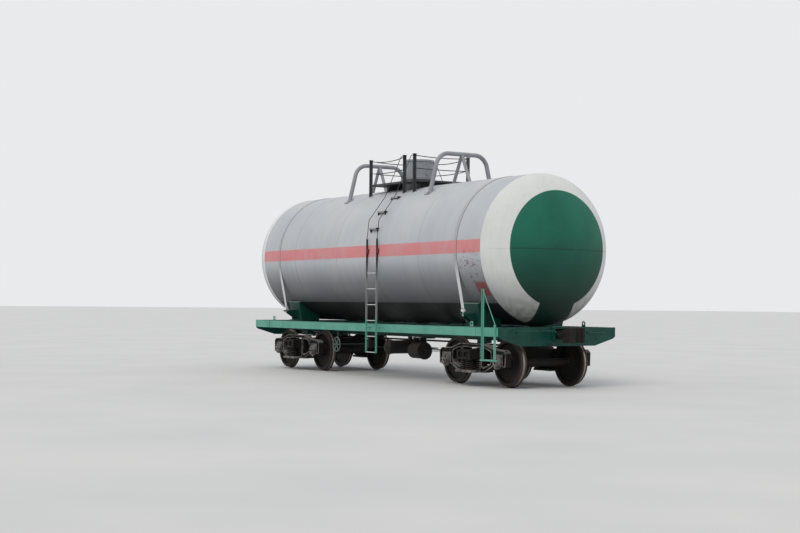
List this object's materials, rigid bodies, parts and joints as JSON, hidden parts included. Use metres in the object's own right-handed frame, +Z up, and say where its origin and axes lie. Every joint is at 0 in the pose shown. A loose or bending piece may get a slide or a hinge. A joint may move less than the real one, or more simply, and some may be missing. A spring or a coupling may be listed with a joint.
{
  "type": "railway tank car",
  "caption": "Rail tank car for liquefied gas: round barrel with dished ends on a sill frame, swivelling cast bogies, roof deck with hood, crash arcs, ladders and brake gear.",
  "frame": {"origin": "on the level of the wheel flange tips, under the middle of the car", "axes": "+X along the car towards the a end, +Y to the left seen from the b end, +Z up"},
  "size_m": [12.1694, 3.221, 5.0835],
  "materials": {
    "tank_grey": "light cool grey enamel, weathered",
    "head_green": "dark green enamel with a warm white ring",
    "frame_green": "green enamel, weathered",
    "sill_teal": "light teal green enamel",
    "roof_steel": "mid grey paint on steel",
    "ladder_grey": "grey green paint",
    "running_gear": "cast and forged steel with brake dust",
    "wheel_steel": "rolled steel, treads polished",
    "brake_black": "black paint",
    "valve_bronze": "dull bronze"
  },
  "bodies": {
    "car": {"centre_sill": "frame_green", "side_sill_left": "sill_teal", "side_sill_right": "sill_teal", "end_sill_a": "frame_green", "end_sill_b": "frame_green", "body_bolster_a": "frame_green", "body_bolster_b": "frame_green", "cross_members": "frame_green", "tank_barrel": "tank_grey", "tank_head_a": "head_green", "tank_head_b": "head_green", "tank_foot": "frame_green", "saddle_a": "frame_green", "saddle_b": "frame_green", "strap_a": "tank_grey", "strap_b": "tank_grey", "coupler_a": "brake_black", "coupler_b": "brake_black", "crash_arc_a": "roof_steel", "crash_arc_b": "roof_steel", "roof_deck": "roof_steel", "roof_rails": "roof_steel", "valve_group": "valve_bronze", "hood_base": "roof_steel", "ladder_left": "ladder_grey", "ladder_right": "ladder_grey", "shell_steps_left": "ladder_grey", "shell_steps_right": "ladder_grey", "corner_step_a": "sill_teal", "corner_step_b": "sill_teal", "air_reservoir": "brake_black", "brake_cylinder": "brake_black", "air_distributor": "brake_black", "brake_rods": "brake_black", "brake_pipe": "brake_black", "parking_brake_case": "brake_black", "tow_lugs": "sill_teal"},
    "hood": {"hood": "roof_steel"},
    "handwheel": {"handwheel": "sill_teal"},
    "bogie_a": {"side_frames_a": "running_gear", "axle_boxes_a": "running_gear", "springs_a": "running_gear", "bogie_bolster_a": "running_gear", "brake_beams_a": "running_gear"},
    "wheelset_a1": {"axle_a1": "wheel_steel", "wheels_a1": "wheel_steel"},
    "wheelset_a2": {"axle_a2": "wheel_steel", "wheels_a2": "wheel_steel"},
    "bogie_b": {"side_frames_b": "running_gear", "axle_boxes_b": "running_gear", "springs_b": "running_gear", "bogie_bolster_b": "running_gear", "brake_beams_b": "running_gear"},
    "wheelset_b1": {"axle_b1": "wheel_steel", "wheels_b1": "wheel_steel"},
    "wheelset_b2": {"axle_b2": "wheel_steel", "wheels_b2": "wheel_steel"}
  },
  "joints": [
    {"name": "bogie_a_swivel", "type": "hinge", "parent": "car", "child": "bogie_a", "pos_m": [3.9, 0, 0.834], "axis": [0, 0, 1], "range_deg": [-4, 4]},
    {"name": "wheelset_a1_roll", "type": "hinge", "parent": "bogie_a", "child": "wheelset_a1", "pos_m": [4.825, 0, 0.5065], "axis": [0, 1, 0], "continuous": true},
    {"name": "wheelset_a2_roll", "type": "hinge", "parent": "bogie_a", "child": "wheelset_a2", "pos_m": [2.975, 0, 0.5065], "axis": [0, 1, 0], "continuous": true},
    {"name": "bogie_b_swivel", "type": "hinge", "parent": "car", "child": "bogie_b", "pos_m": [-3.9, 0, 0.834], "axis": [0, 0, 1], "range_deg": [-4, 4]},
    {"name": "wheelset_b1_roll", "type": "hinge", "parent": "bogie_b", "child": "wheelset_b1", "pos_m": [-2.975, 0, 0.5065], "axis": [0, 1, 0], "continuous": true},
    {"name": "wheelset_b2_roll", "type": "hinge", "parent": "bogie_b", "child": "wheelset_b2", "pos_m": [-4.825, 0, 0.5065], "axis": [0, 1, 0], "continuous": true},
    {"name": "hood_tip", "type": "hinge", "parent": "car", "child": "hood", "pos_m": [-0.28, 0, 4.602], "axis": [0, -1, 0], "range_deg": [0, 95]},
    {"name": "handwheel_turn", "type": "hinge", "parent": "car", "child": "handwheel", "pos_m": [-1.14, -1.455, 0.718], "axis": [0, 1, 0], "continuous": true}
  ]
}
